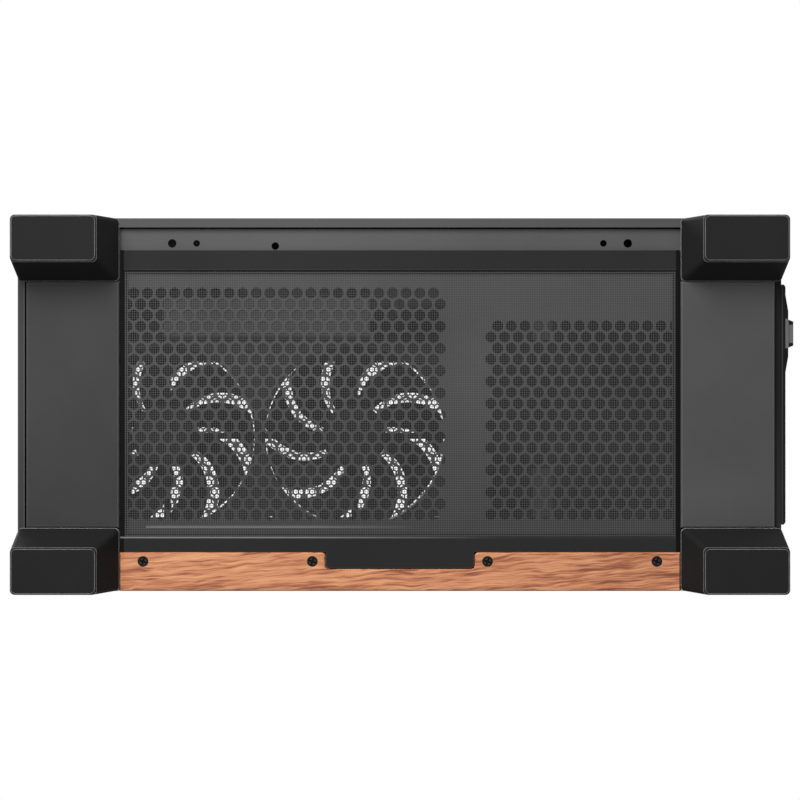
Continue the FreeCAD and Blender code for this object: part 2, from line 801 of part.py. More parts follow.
# Wood strip: notched for the filter tab and countersunk for four screws
strip = new_body("wood_strip")
strip_y = foot_inner_y - gap
slab(strip, "XY_Plane", base_low, ledge_low, [loop((-half_x, -wood_inner), (-strip_y, strip_y))])
notch_y = tab_half + s["notch_gap"]
notch = loop((tab_x - s["notch_gap"], pan_left), (-notch_y, notch_y))
cut_up(strip, base_low, s["notch_height"], [notch])
dress(strip, "Fillet", s["tab_round"] - s["seam"],
      lambda edge: upright(edge) and edge.Length < float(s["notch_height"]) + NEAR)
dress(strip, "Chamfer", s["wood_bevel"], at_level(base_low))
cut_up(strip, base_low, s["wood_height"], [], [(wood_screw_x, y, screw_hole) for y in wood_rows])
sink_depth = s["screw_head"] - s["screw_shank"]
for y in wood_rows:
    sink = strip.newObject("PartDesign::SubtractiveCone", "wood_sink")
    bind(sink, "Radius1", s["screw_head"] + 2 * s["screw_gap"])
    bind(sink, "Radius2", screw_hole)
    bind(sink, "Height", sink_depth + s["screw_gap"])
    bind(sink, "Placement.Base.x", wood_screw_x)
    bind(sink, "Placement.Base.y", y)
    bind(sink, "Placement.Base.z", base_low)
    doc.recompute()
screw_end = s["wood_height"] + s["screw_past"]
screw = [(0, s["screw_gap"]), (s["screw_head"], s["screw_gap"])]
screw += [(s["screw_shank"], s["screw_gap"] + sink_depth), (s["screw_shank"], screw_end)]
screw.append((0, screw_end + s["screw_tip"]))
turned_group("wood_screws", screw, [(wood_screw_x, y, base_low) for y in wood_rows], (0, 0, 1))

# Dust filter: long bars, thin end rims and a pull tab round a fine mesh
filter_high = pan_low - gap
filter_low = filter_high - s["filter_thickness"]
mesh_low = filter_low + s["mesh_rise"]
mesh_high = mesh_low + s["mesh_thickness"]
filter_y = (-filter_half, filter_half)
rim_y = (s["filter_rim"] - filter_half, filter_half - s["filter_rim"])
filter_frame = new_body("filter_frame")
rim_loops = [loop((pan_left, filter_right), filter_y), loop((bar_left, bar_right), rim_y)]
slab(filter_frame, "XY_Plane", filter_low, filter_high, rim_loops)
slab(filter_frame, "XY_Plane", filter_low, filter_high, [loop((tab_x, bar_left), (-tab_half, tab_half))])
ledge_x = (bar_left + s["mesh_ledge"], bar_right - s["mesh_ledge"])
ledge_y = (rim_y[0] + s["mesh_ledge"], rim_y[1] - s["mesh_ledge"])
ledge_loops = [loop((bar_left, bar_right), rim_y), loop(ledge_x, ledge_y)]
slab(filter_frame, "XY_Plane", mesh_high, filter_high, ledge_loops)
dress(filter_frame, "Fillet", s["tab_round"], lambda edge: upright(edge) and at_x(edge, tab_x))
dress(filter_frame, "Chamfer", s["filter_bevel"],
      lambda edge: at_level(filter_low)(edge) and at_x(edge, bar_left))
mesh_edge = lying(loop((bar_left, bar_right), rim_y), mesh_low)
mesh_slots = slot_loops((bar_left, bar_right), rim_y, FILTER_COLUMNS, FILTER_ROWS, s["mesh_bar"])
mesh_holes = [lying(points, mesh_low) for points in mesh_slots]
feature("filter_mesh", pierced(mesh_edge, mesh_holes, vector(0, 0, s["mesh_thickness"])))


# Floor fans: square frame with duct and struts, rotor with swept blades
def fan_frame(label, y):
    owner = new_body(label)
    top = pan_top + s["fan_depth"]
    strut_low = top - s["fan_strut"]
    holes = [(fan_x, y, fan_duct)]
    for a in EITHER_SIDE:
        holes += [(fan_x + a * fan_hole_half, y + b * fan_hole_half, s["fan_hole"]) for b in EITHER_SIDE]
    square = loop((fan_x - fan_half, fan_x + fan_half), (y - fan_half, y + fan_half))
    slab(owner, "XY_Plane", pan_top, top, [square], holes)
    sides = (fan_x - fan_half, fan_x + fan_half)
    dress(owner, "Fillet", s["fan_corner"],
          lambda edge: upright(edge) and any(at_x(edge, side) for side in sides))
    reach = fan_duct + s["fan_strut_lap"]
    thin = s["fan_strut"] / 2
    slab(owner, "XY_Plane", strut_low, top, [loop((fan_x - reach, fan_x + reach), (y - thin, y + thin))])
    slab(owner, "XY_Plane", strut_low, top, [loop((fan_x - thin, fan_x + thin), (y - reach, y + reach))])
    slab(owner, "XY_Plane", strut_low, top, [], [(fan_x, y, s["fan_hub"])])
    cut_up(owner, strut_low, s["fan_strut"], [], [(fan_x, y, s["fan_shaft"] + s["shaft_gap"])])


def blade_section(radius, centre, low, high):
    """A thin four-sided section that rises across the blade's width."""
    thick = float(s["blade_half"])
    back = math.radians(centre - BLADE_WIDTH_ANGLE / 2)
    lead = math.radians(centre + BLADE_WIDTH_ANGLE / 2)
    corners = [(back, low - thick), (lead, high - thick), (lead, high + thick), (back, low + thick)]
    points = []
    for angle, height in corners:
        points.append((radius * math.cos(angle), radius * math.sin(angle), height))
    return ring_wire(points)


def fan_rotor(label, y):
    hub = float(s["fan_hub"])
    tip = float(fan_duct - s["blade_gap"])
    low = float(s["blade_rise"])
    high = float(s["fan_depth"] - s["fan_strut"] - s["blade_drop"])
    sections = []
    for radius, share in ((hub - float(s["hub_edge"]), 0.0), ((hub + tip) / 2, BLADE_BEND), (tip, 1.0)):
        sections.append(blade_section(radius, share * BLADE_SWEEP_ANGLE, low, high))
    blade = Part.makeLoft(sections, True, True)
    blades = []
    for index in range(BLADE_COUNT):
        copy = blade.copy()
        copy.rotate(vector(0, 0, 0), vector(0, 0, 1), 360.0 * (index + 0.5) / BLADE_COUNT)
        blades.append(copy)
    hub_top = s["fan_depth"] - s["fan_strut"] - gap
    shaft_top = hub_top + s["shaft_length"]
    profile = [(0, s["hub_rise"]), (hub - s["hub_edge"], s["hub_rise"]), (hub, s["hub_rise"] + s["hub_edge"])]
    profile += [(hub, hub_top), (s["fan_shaft"], hub_top), (s["fan_shaft"], shaft_top), (0, shaft_top)]
    whole = turned(profile, (0, 0, 0), (0, 0, 1)).multiFuse(blades).Solids[0]
    whole.translate(vector(fan_x, y, pan_top))
    feature(label, whole)


for name, y in fan_rows.items():
    fan_frame(f"{name}_fan_frame", y)
    fan_rotor(f"{name}_fan_rotor", y)


# Drive cage: folded trough on the pan with a sled that lifts out
def trough(across, low, high, wall):
    left, right = across
    floor = low + wall
    return [(left, low), (right, low), (right, high), (right - wall, high), (right - wall, floor),
            (left + wall, floor), (left + wall, high), (left, high)]


cage_left = fan_x + fan_half + s["cage_fan_gap"]
cage_x = (cage_left, cage_left + s["cage_width"])
cage_front = s["cage_front_inset"] - half_y
cage_back = cage_front + s["cage_length"]
cage = new_body("drive_cage")
slab(cage, "XZ_Plane", cage_front, cage_back, [trough(cage_x, pan_top, pan_top + s["cage_height"], steel)])
sled = new_body("drive_tray")
side_room = steel + s["sled_gap"]
sled_x = (cage_x[0] + side_room, cage_x[1] - side_room)
sled_low = pan_top + side_room
sled_high = sled_low + s["sled_height"]
sled_back = cage_back - s["sled_end"]
sled_loop = trough(sled_x, sled_low, sled_high, s["sled_wall"])
slab(sled, "XZ_Plane", cage_front + s["sled_end"], sled_back, [sled_loop])
handle = loop(sled_x, (sled_high - s["sled_handle"], sled_high))
slab(sled, "XZ_Plane", sled_back - s["sled_handle"], sled_back, [handle])

# Expansion slot covers and their screws
cover_half = s["cover_height"] / 2
cover_x = (slot_screw_x - s["cover_end"], slot_right + s["cover_lap"])
for index, z in enumerate(slot_rows, start=1):
    cover = new_body(f"slot_cover_{index}")
    cover_loop = loop(cover_x, (z - cover_half, z + cover_half))
    slab(cover, "XZ_Plane", rear_inner - steel, rear_inner, [cover_loop], [(slot_screw_x, z, screw_hole)])
thumb = [(0, -s["thumb_shank"]), (s["screw_shank"], -s["thumb_shank"]), (s["screw_shank"], 0)]
thumb += [(s["thumb_radius"], 0), (s["thumb_radius"], s["thumb_height"] - s["thumb_edge"])]
thumb += [(s["thumb_radius"] - s["thumb_edge"], s["thumb_height"]), (0, s["thumb_height"])]
turned_group("slot_screws", thumb, [(slot_screw_x, half_y, z) for z in slot_rows], (0, 1, 0))

# Rear retainer: moulded strip with a stepped finger grip
retainer = new_body("rear_retainer")
end_x = s["retainer_half"]
strip_face = half_y + s["retainer_depth"]
step_face = half_y + s["grip_step_depth"]
grip_face = half_y + s["grip_depth"]
side_face = half_y + s["retainer_side"]
grip = [(-end_x, half_y), (end_x, half_y), (end_x, side_face), (end_x - s["retainer_edge"], strip_face)]
grip += [(s["grip_x"] + s["grip_foot"], strip_face), (s["grip_x"] + s["grip_step"], step_face)]
grip += [(s["grip_x"] + s["grip_neck"], step_face), (s["grip_x"] + s["grip_top"], grip_face)]
grip += [(s["grip_x"] - s["grip_top"], grip_face), (s["grip_x"] - s["grip_neck"], step_face)]
grip += [(s["grip_x"] - s["grip_step"], step_face), (s["grip_x"] - s["grip_foot"], strip_face)]
grip += [(s["retainer_edge"] - end_x, strip_face), (-end_x, side_face)]
retainer_low = base_low + s["retainer_rise"]
slab(retainer, "XY_Plane", retainer_low, retainer_low + s["retainer_height"], [grip])

# Console: housing through the deck with buttons and ports
ports = {}
for label, step in (("usb_a_port_front", s["usb_front_step"]), ("usb_a_port_rear", s["usb_rear_step"])):
    ports[label] = (console_front + step, s["usb_thin"], s["usb_wide"])
ports["usb_c_port"] = (console_front + s["usb_c_step"], s["usb_c_thin"], s["usb_c_wide"])
power_y = console_front + s["power_step"]
reset_y = console_front + s["reset_step"]
jack_y = console_front + s["jack_step"]


def port_spans(y, thin, wide):
    return (console_mid - thin / 2, console_mid + thin / 2), (y - wide / 2, y + wide / 2)


console = new_body("io_housing")
slab(console, "XY_Plane", console_low, console_floor, [loop(console_core_x, console_core_y)])
wells = [(console_mid, power_y, s["power_radius"] + gap), (console_mid, reset_y, s["reset_radius"] + gap)]
wells.append((console_mid, jack_y, s["jack_radius"] + s["shaft_gap"]))
port_loops = [loop(*port_spans(*port)) for port in ports.values()]
slab(console, "XY_Plane", console_floor, deck_top, [loop(console_core_x, console_core_y)] + port_loops, wells)
slab(console, "XY_Plane", deck_top, console_high, [loop(console_x, console_y)] + port_loops, wells)


def button(label, y, radius):
    owner = new_body(label)
    low = console_floor + s["key_travel"] + s["key_clear"]
    slab(owner, "XY_Plane", low, s["case_height"], [], [(console_mid, y, radius)])
    dress(owner, "Fillet", s["key_round"], at_level(s["case_height"]))


button("power_button", power_y, s["power_radius"])
button("reset_button", reset_y, s["reset_radius"])
port_low = console_floor + s["port_floor"]
for label, (y, thin, wide) in ports.items():
    socket = new_body(label)
    across, along = port_spans(y, thin, wide)
    inner = grown_loop(across, along, -s["port_wall"])
    slab(socket, "XY_Plane", port_low, console_high, [loop(across, along), inner])
    slab(socket, "XY_Plane", console_floor, port_low, [loop(across, along)])
    tongue = loop(*port_spans(y, 2 * TONGUE_THIN_SHARE * thin, 2 * TONGUE_WIDE_SHARE * wide))
    slab(socket, "XY_Plane", port_low, console_high - s["port_tongue_drop"], [tongue])
jack = new_body("audio_jack")
jack_ring = (console_mid, jack_y, s["jack_radius"])
slab(jack, "XY_Plane", console_floor, port_low, [], [jack_ring])
slab(jack, "XY_Plane", port_low, console_high, [], [jack_ring, (console_mid, jack_y, s["jack_bore"])])

# Top panel: folded sheet with a window round the console and one over a slotted grille
top_inner = s["case_height"] - steel
grille_x = (deck_x[0], deck_x[1] + s["grille_side"])
grille_y = (deck_y[0] - s["grille_front"], deck_y[1] + s["grille_back"])
top_panel = new_body("top_panel")
top_x = (-half_x, half_x)
top_y = (-half_y, half_y)
top_loops = [loop(top_x, top_y), loop(grille_x, grille_y), grown_loop(console_x, console_y, s["console_gap"])]
slab(top_panel, "XY_Plane", top_inner, s["case_height"], top_loops)
slab(top_panel, "XY_Plane", skirt_low, top_inner, [loop(top_x, top_y), grown_loop(top_x, top_y, -steel)])
grille_low = top_inner - steel
grille_edge = lying(grown_loop(grille_x, grille_y, s["grille_lap"]), grille_low)
grille_slots = slot_loops(grille_x, grille_y, GRILLE_COLUMNS, GRILLE_ROWS, s["grille_bar"])
grille_holes = [lying(points, grille_low) for points in grille_slots]
feature("top_grille", pierced(grille_edge, grille_holes, vector(0, 0, steel)))
shoulder = top_inner - deck_top - gap
pin = [(0, 0), (s["top_stud_shoulder"], 0), (s["top_stud_shoulder"], shoulder), (s["stud_radius"], shoulder)]
pin += [(s["stud_radius"], s["top_stud_length"] - s["stud_point"])]
pin += [(s["stud_radius"] - s["stud_taper"], s["top_stud_length"]), (0, s["top_stud_length"])]
turned_group("top_panel_studs", pin, [(x, y, top_inner) for x, y in top_studs], (0, 0, -1))

# Front panel: rim, inset grille and six studs
front_panel = new_body("front_panel_frame")
rim = s["front_rim"]
front_x = (rim - half_x, half_x - rim)
front_z = (panel_low + rim, panel_high - rim)
front_loops = [loop((-half_x, half_x), (panel_low, panel_high)), loop(front_x, front_z)]
front_back = s["front_depth"] - half_y
slab(front_panel, "XZ_Plane", -half_y, front_back, front_loops)
dress(front_panel, "Fillet", s["seam"] * 2,
      lambda edge: upright(edge) and abs(edge.BoundBox.YMin + float(half_y)) < NEAR
      and (at_x(edge, half_x) or at_x(edge, -half_x)))
front_plane = s["front_mesh_inset"] - half_y
front_slots = slot_loops(front_x, front_z, GRILLE_COLUMNS, FRONT_ROWS, s["grille_bar"])
front_openings = [facing(points, front_plane) for points in front_slots]
front_sheet = pierced(facing(loop(front_x, front_z), front_plane), front_openings, vector(0, steel, 0))
feature("front_mesh", front_sheet)


def pins(label, places, axis, length):
    shape = [(0, 0), (s["stud_radius"], 0), (s["stud_radius"], length - s["stud_point"])]
    shape += [(s["stud_radius"] - s["stud_taper"], length), (0, length)]
    turned_group(label, shape, places, axis)


front_spots = [(side * front_stud_x, front_back, z) for side in EITHER_SIDE for z in front_stud_z]
pins("front_panel_studs", front_spots, (0, 1, 0), s["front_stud_length"])

# Glass panel: pane with two bonded rails and four studs
side_y = (front_outer - gap, half_y - s["seam"])
glass_inner = s["glass_thickness"] - half_x
pane = new_body("glass_pane")
slab(pane, "YZ_Plane", -half_x, glass_inner, [loop(side_y, (ledge_top + s["seam"], panel_high))])
rail_y = (front_outer + s["rail_inset"], half_y - s["rail_inset"])
rail_face = glass_inner + s["rail_depth"]
top_rail = new_body("glass_top_rail")
top_rail_z = (stud_high - s["rail_half"], stud_high + s["rail_top"])
slab(top_rail, "YZ_Plane", glass_inner, rail_face, [loop(rail_y, top_rail_z)])
bottom_rail = new_body("glass_bottom_rail")
bottom_rail_z = (stud_low - s["rail_half"], stud_low + s["rail_half"])
slab(bottom_rail, "YZ_Plane", glass_inner, rail_face, [loop(rail_y, bottom_rail_z)])
side_spots = [(y, z) for y in side_studs for z in (stud_low, stud_high)]
pins("glass_panel_studs", [(rail_face, y, z) for y, z in side_spots], (1, 0, 0), s["glass_stud_length"])

# Steel side panel: folded tray with four studs
side_panel = new_body("side_panel")
side_z = (panel_low, panel_high)
skin = half_x - steel
slab(side_panel, "YZ_Plane", skin, half_x, [loop(side_y, side_z)])
folded = [loop(side_y, side_z), grown_loop(side_y, side_z, -steel)]
slab(side_panel, "YZ_Plane", half_x - s["panel_depth"], skin, folded)
pins("side_panel_studs", [(skin, y, z) for y, z in side_spots], (-1, 0, 0), s["side_stud_length"])

doc.recompute()
for item in doc.Objects:
    if "Invalid" in item.State or "Error" in item.State:
        raise RuntimeError(f"{item.Label} did not recompute")
os.makedirs("parts", exist_ok=True)
for piece in pieces:
    if piece.Shape.isNull() or not piece.Shape.isValid():
        raise RuntimeError(f"{piece.Label} has no valid shape")
    piece.Shape.exportStep(f"parts/{piece.Label}.step")
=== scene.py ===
import json
import math

import bpy
from mathutils import Matrix, Vector
from mathutils.geometry import delaunay_2d_cdt


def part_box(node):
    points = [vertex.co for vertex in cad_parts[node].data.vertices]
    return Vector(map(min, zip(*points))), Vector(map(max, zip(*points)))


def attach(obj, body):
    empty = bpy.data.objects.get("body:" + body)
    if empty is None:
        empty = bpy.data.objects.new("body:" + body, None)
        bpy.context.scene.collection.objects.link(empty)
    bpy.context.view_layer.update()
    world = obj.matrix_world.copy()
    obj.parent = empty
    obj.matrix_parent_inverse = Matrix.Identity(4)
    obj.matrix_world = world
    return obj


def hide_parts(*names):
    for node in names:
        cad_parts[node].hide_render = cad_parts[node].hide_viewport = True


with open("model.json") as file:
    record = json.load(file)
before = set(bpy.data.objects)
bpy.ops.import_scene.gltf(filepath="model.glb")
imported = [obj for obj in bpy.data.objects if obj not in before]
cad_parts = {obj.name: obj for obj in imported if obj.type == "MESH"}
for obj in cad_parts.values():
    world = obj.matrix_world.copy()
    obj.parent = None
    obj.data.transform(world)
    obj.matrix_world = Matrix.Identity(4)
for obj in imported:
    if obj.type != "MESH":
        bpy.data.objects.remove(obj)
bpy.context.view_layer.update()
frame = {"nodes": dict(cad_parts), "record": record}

MM = 0.001
SLOTS = {entry["node"]: entry["material_slot"] for entry in frame["record"]["subparts"]}
BODIES = frame["record"]["behaviour"]["bodies"]
JOINTS = frame["record"]["behaviour"]["joints"]


def limits(target):
    """Lowest and highest corner of a node in mm."""
    low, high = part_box(target)
    return [value / MM for value in low], [value / MM for value in high]


def body_of(target):
    return next(name for name, members in BODIES.items() if target in members)


# Shader parts
def linear(grey):
    """An sRGB level from 0 to 255 as a linear value."""
    level = grey / 255.0
    return level / 12.92 if level <= 0.04045 else ((level + 0.055) / 1.055) ** 2.4


def tone(red, green=None, blue=None):
    """A grey from one sRGB level or a colour from three."""
    green = red if green is None else green
    blue = red if blue is None else blue
    return (linear(red), linear(green), linear(blue), 1.0)


def new_material(name):
    made = bpy.data.materials.new(name)
    made.use_nodes = True
    made.node_tree.nodes.clear()
    return made, made.node_tree


def feed(tree, entry, value):
    """Links an input to a socket, or sets it to a plain value."""
    if isinstance(value, bpy.types.NodeSocket):
        tree.links.new(value, entry)
    else:
        entry.default_value = value


def node(tree, kind, **values):
    """A shader node with its inputs fed by name."""
    made = tree.nodes.new(kind)
    for key, value in values.items():
        feed(tree, made.inputs[key.replace("_", " ")], value)
    return made


def own_place(tree):
    """The piece's own coordinates in metres."""
    return tree.nodes.new("ShaderNodeTexCoord").outputs["Object"]


def noise(tree, vector, scale, detail=2.0, distortion=0.0):
    made = node(tree, "ShaderNodeTexNoise", Vector=vector, Scale=scale, Detail=detail,
                Distortion=distortion)
    return made.outputs["Fac"]


def ramp(tree, factor, stops):
    made = node(tree, "ShaderNodeValToRGB", Fac=factor)
    elements = made.color_ramp.elements
    while len(elements) < len(stops):
        elements.new(0.5)
    for element, (place, colour) in zip(elements, stops):
        element.position = place
        element.color = colour
    return made.outputs["Color"]


def spread(tree, value, low, high, start=0.0, end=1.0):
    """A value that runs from start to end, laid over the range from low to high."""
    made = node(tree, "ShaderNodeMapRange", Value=value, From_Min=start, From_Max=end,
                To_Min=low, To_Max=high)
    return made.outputs["Result"]


def reckon(tree, operation, *values):
    made = tree.nodes.new("ShaderNodeMath")
    made.operation = operation
    for entry, value in zip(made.inputs, values):
        feed(tree, entry, value)
    return made.outputs[0]


def mixed(tree, factor, first, second):
    """The first colour turning into the second."""
    made = tree.nodes.new("ShaderNodeMix")
    made.data_type = "RGBA"
    entries = {entry.identifier: entry for entry in made.inputs}
    feed(tree, entries["Factor_Float"], factor)
    feed(tree, entries["A_Color"], first)
    feed(tree, entries["B_Color"], second)
    return next(out for out in made.outputs if out.identifier == "Result_Color")


def either(tree, factor, first, second):
    """The first shader turning into the second."""
    made = node(tree, "ShaderNodeMixShader", Fac=factor)
    feed(tree, made.inputs[1], first.outputs[0])
    feed(tree, made.inputs[2], second.outputs[0])
    return made


def bump(tree, height, strength, distance):
    made = node(tree, "ShaderNodeBump", Height=height, Strength=strength, Distance=distance)
    return made.outputs["Normal"]


def surface(tree, colour, rough, normal, **values):
    return node(tree, "ShaderNodeBsdfPrincipled", Base_Color=colour, Roughness=rough,
                Normal=normal, **values)


def show(tree, shader, kind="ShaderNodeOutputMaterial"):
    node(tree, kind, Surface=shader.outputs[0])


# Finishes
EVEN_STOPS = (0.3, 0.7)
BROAD_SCALE, BROAD_DETAIL = 14.0, 3.0
ROUGH_SWING = 0.06
RELIEF_DEPTH = 0.0002
EDGE_REACH = 0.0008
EDGE_SAMPLES = 8
EDGE_START, EDGE_FULL = 0.995, 0.9


def two_tone(tree, factor, dark, light):
    return ramp(tree, factor, list(zip(EVEN_STOPS, (dark, light))))


def painted_edge_highlight(tree, colour, edge, reach):
    """Painted highlight along the edges, found where a softened normal leaves the true one."""
    soft = node(tree, "ShaderNodeBevel", Radius=reach)
    soft.samples = EDGE_SAMPLES
    true = tree.nodes.new("ShaderNodeNewGeometry")
    match = tree.nodes.new("ShaderNodeVectorMath")
    match.operation = "DOT_PRODUCT"
    feed(tree, match.inputs[0], soft.outputs["Normal"])
    feed(tree, match.inputs[1], true.outputs["Normal"])
    near = spread(tree, match.outputs["Value"], 0.0, 1.0, EDGE_START, EDGE_FULL)
    return mixed(tree, near, colour, edge)


def patched(tree, colour, box, other, fade=None):
    """Another tone within a box of the piece's own coordinates, which may fade along an axis."""
    place = node(tree, "ShaderNodeSeparateXYZ", Vector=own_place(tree))
    factor = 1.0
    for axis, (low, high) in box.items():
        middle, half = (low + high) / 2 * MM, (high - low) / 2 * MM
        inside = reckon(tree, "COMPARE", place.outputs[axis], middle, half)
        factor = reckon(tree, "MULTIPLY", inside, factor)
    if fade:
        axis, full, gone = fade
        left = spread(tree, place.outputs[axis], 1.0, 0.0, full * MM, gone * MM)
        factor = reckon(tree, "MULTIPLY", left, factor)
    return mixed(tree, factor, colour, other)


def coated(name, dark, light, rough, grain, relief, metallic=0.0, specular=0.5,
           edge=None, reach=EDGE_REACH, patches=()):
    """A finish with broad tone changes, fine texture in its roughness and a fine relief."""
    made, tree = new_material(name)
    place = own_place(tree)
    fine = noise(tree, place, grain)
    broad = noise(tree, place, BROAD_SCALE, BROAD_DETAIL)
    colour = two_tone(tree, broad, dark, light)
    # Painted highlight along the edges, in the edge tone
    if edge:
        colour = painted_edge_highlight(tree, colour, edge, reach)
    # Patches lay other tones over boxes of the piece, most of them painted highlights and painted
    # shade
    for patch in patches:
        colour = patched(tree, colour, *patch)
    roughness = spread(tree, fine, rough - ROUGH_SWING, rough + ROUGH_SWING)
    normal = bump(tree, fine, relief, RELIEF_DEPTH)
    show(tree, surface(tree, colour, roughness, normal,
                       Metallic=metallic, Specular_IOR_Level=specular))
    return made


WOOD_SLANT = 0.08
FINE_SWAY = {"sway_scale": 34.0, "sway": 0.0032}
BROAD_SWAY = {"sway_scale": 20.0, "sway": 0.004}
BAND_SHARE, PORE_SHARE = 0.5, 0.45
WOOD_ROUGH, WOOD_RELIEF = (0.45, 0.62), 0.25
WOOD_RANGE = (0.55, 1.4)
WOOD_TONES = ((0.26, tone(118, 60, 36)), (0.4, tone(158, 95, 61)),
              (0.52, tone(183, 120, 82)), (0.78, tone(206, 146, 103)))


def streaks(tree, across, along, sway_scale, sway, detail, distortion):
    """Noise drawn out along the strip, in lines that slant a little and sway sideways."""
    place = own_place(tree)
    aside = spread(tree, noise(tree, place, sway_scale), -sway, sway)
    shift = node(tree, "ShaderNodeCombineXYZ", X=aside)
    moved = tree.nodes.new("ShaderNodeVectorMath")
    feed(tree, moved.inputs[0], place)
    feed(tree, moved.inputs[1], shift.outputs["Vector"])
    slanted = node(tree, "ShaderNodeMapping", Vector=moved.outputs["Vector"],
                   Rotation=(0.0, 0.0, WOOD_SLANT))
    drawn = node(tree, "ShaderNodeMapping", Vector=slanted.outputs["Vector"],
                 Scale=(across, along, across))
    return noise(tree, drawn.outputs["Vector"], 1.0, detail, distortion)


def wooden(name):
    """Fine strokes over broad bands, with pores."""
    made, tree = new_material(name)
    stroke = streaks(tree, across=700.0, along=40.0, detail=4.0, distortion=0.7, **FINE_SWAY)
    pore = streaks(tree, across=1700.0, along=70.0, detail=3.0, distortion=0.5, **FINE_SWAY)
    band = streaks(tree, across=170.0, along=12.0, detail=3.0, distortion=0.6, **BROAD_SWAY)
    level = reckon(tree, "MULTIPLY_ADD", band, BAND_SHARE, stroke)
    level = reckon(tree, "MULTIPLY_ADD", pore, PORE_SHARE, level)
    colour = ramp(tree, spread(tree, level, 0.0, 1.0, *WOOD_RANGE), WOOD_TONES)
    normal = bump(tree, pore, WOOD_RELIEF, RELIEF_DEPTH)
    show(tree, surface(tree, colour, spread(tree, pore, *WOOD_ROUGH), normal))
    return made


GLASS_SMEAR, GLASS_ROUGH, GLASS_RELIEF = 6.0, (0.02, 0.08), 0.02
GLASS_GLOSS = 0.28


def glazed(name):
    """Smoked glass: tinted see-through with a faint reflection."""
    made, tree = new_material(name)
    smear = noise(tree, own_place(tree), GLASS_SMEAR, BROAD_DETAIL)
    tint = two_tone(tree, smear, tone(150, 153, 156), tone(158, 160, 164))
    clear = node(tree, "ShaderNodeBsdfTransparent", Color=tint)
    gloss = surface(tree, two_tone(tree, smear, tone(20), tone(26)),
                    spread(tree, smear, *GLASS_ROUGH),
                    bump(tree, smear, GLASS_RELIEF, RELIEF_DEPTH))
    show(tree, either(tree, GLASS_GLOSS, clear, gloss))
    return made


# Tones that only a part of a piece has, as boxes in mm, most of them painted highlights and
# painted shade
SLACK = 0.1
PAST_END = 1.3
CHAMFER, CHAMFER_LIT_Y, CHAMFER_DARK_Y = 0.8, -60.0, 60.0
LINE_WIDTH = 0.8
# Boxes of the painted highlights on the step and finger grip of the retainer
STEP_X, STEP_START, STEP_END = (35.5, 54.0), 2.25, 4.3
GRIP_X, GRIP_START = (38.8, 50.2), 4.6
# Painted shade towards the glass side of the pan, and a painted glint beside the front fan
SHADE_X, SHADE_FULL_X = (-110.0, 10.0), -140.0
GLINT_START, GLINT_END = 5.4, 6.8
GLINT_Y, GLINT_FULL_Y = (-160.0, 10.0), -60.0
# RECESS_START and RECESS_END bound the painted shade in the screw recess
FACE_SLACK, RECESS_START, RECESS_END = 0.05, 0.3, 30.0


def filter_patches():
    """Painted shade that makes both ends black, and a painted highlight on the chamfer beside the
    mesh that fades towards the rear.
    """
    low, high = limits("filter_frame")
    inner_low, inner_high = limits("filter_mesh")
    chamfer = {"X": (inner_low[0] - CHAMFER - SLACK, inner_low[0] + SLACK),
               "Z": (low[2] - SLACK, low[2] + CHAMFER + SLACK)}
    # Painted shade at both ends
    return (({"Y": (low[1] - PAST_END, inner_low[1])}, tone(8)),
            ({"Y": (inner_high[1], high[1] + PAST_END)}, tone(8)),
            # Painted highlight on the chamfer
            (chamfer, tone(105), ("Y", CHAMFER_LIT_Y, CHAMFER_DARK_Y)))


def retainer_patches():
    """A thin line along the panel, and painted highlights on the step and the finger grip."""
    low, high = limits("rear_retainer")
    panel, back = low[1], high[1]
    return (({"Y": (panel - SLACK, panel + LINE_WIDTH)}, tone(48)),
            # Painted highlights on the step and the finger grip
            ({"X": STEP_X, "Y": (panel + STEP_START, panel + STEP_END)}, tone(95)),
            ({"X": GRIP_X, "Y": (panel + GRIP_START, back + PAST_END)}, tone(92)))


def pan_patches():
    """Painted shade on the rear strip and towards the glass side, and a painted glint beside the
    front fan.
    """
    shaded_rear_strip = {"Y": (limits("rear_base_cover")[1][1], limits("floor_pan")[1][1] + PAST_END)}
    side = limits("filter_mesh")[0][0]
    glint = {"X": (side + GLINT_START, side + GLINT_END), "Y": GLINT_Y}
    # Painted shade on the rear strip, painted shade towards the glass side, and a painted glint
    return ((shaded_rear_strip, tone(15)),
            ({"X": SHADE_X}, tone(44), ("X", SHADE_FULL_X, SHADE_X[1])),
            (glint, tone(122), ("Y", GLINT_FULL_Y, GLINT_Y[1])))


def screw_patches():
    """A dark outer ring, and painted shade that makes the recess black."""
    face = limits("wood_screws")[0][2]
    return (({"Z": (face - FACE_SLACK, face + FACE_SLACK)}, tone(17)),
            # Painted shade in the recess
            ({"Z": (face + RECESS_START, face + RECESS_END)}, tone(3)))


# The finish of every node; edge gives the tone of a painted highlight along the edges
COAT = {"rough": 0.65, "grain": 1400.0, "relief": 0.25, "specular": 0.2}
MOULDED = {"rough": 0.7, "grain": 1800.0, "relief": 0.3, "specular": 0.15}
MATT = {"rough": 0.75, "grain": 1800.0, "relief": 0.3, "specular": 0.1}
FOOT_SKIN = {"rough": 0.75, "grain": 2000.0, "relief": 0.3, "specular": 0.1}
RUBBER = {"rough": 0.8, "grain": 900.0, "relief": 0.2}
FAN = {"rough": 0.6, "grain": 1200.0, "relief": 0.15, "specular": 0.2}
NYLON = {"rough": 0.7, "grain": 1600.0, "relief": 0.1, "specular": 0.2}
ZINC = {"rough": 0.5, "grain": 900.0, "relief": 0.15, "specular": 0.15}
SCREW_COAT = {"rough": 0.55, "grain": 900.0, "relief": 0.15, "specular": 0.1}
BRASS = {"rough": 0.3, "grain": 700.0, "relief": 0.1, "metallic": 1.0}
PLATED = {"rough": 0.25, "grain": 700.0, "relief": 0.1, "metallic": 1.0}

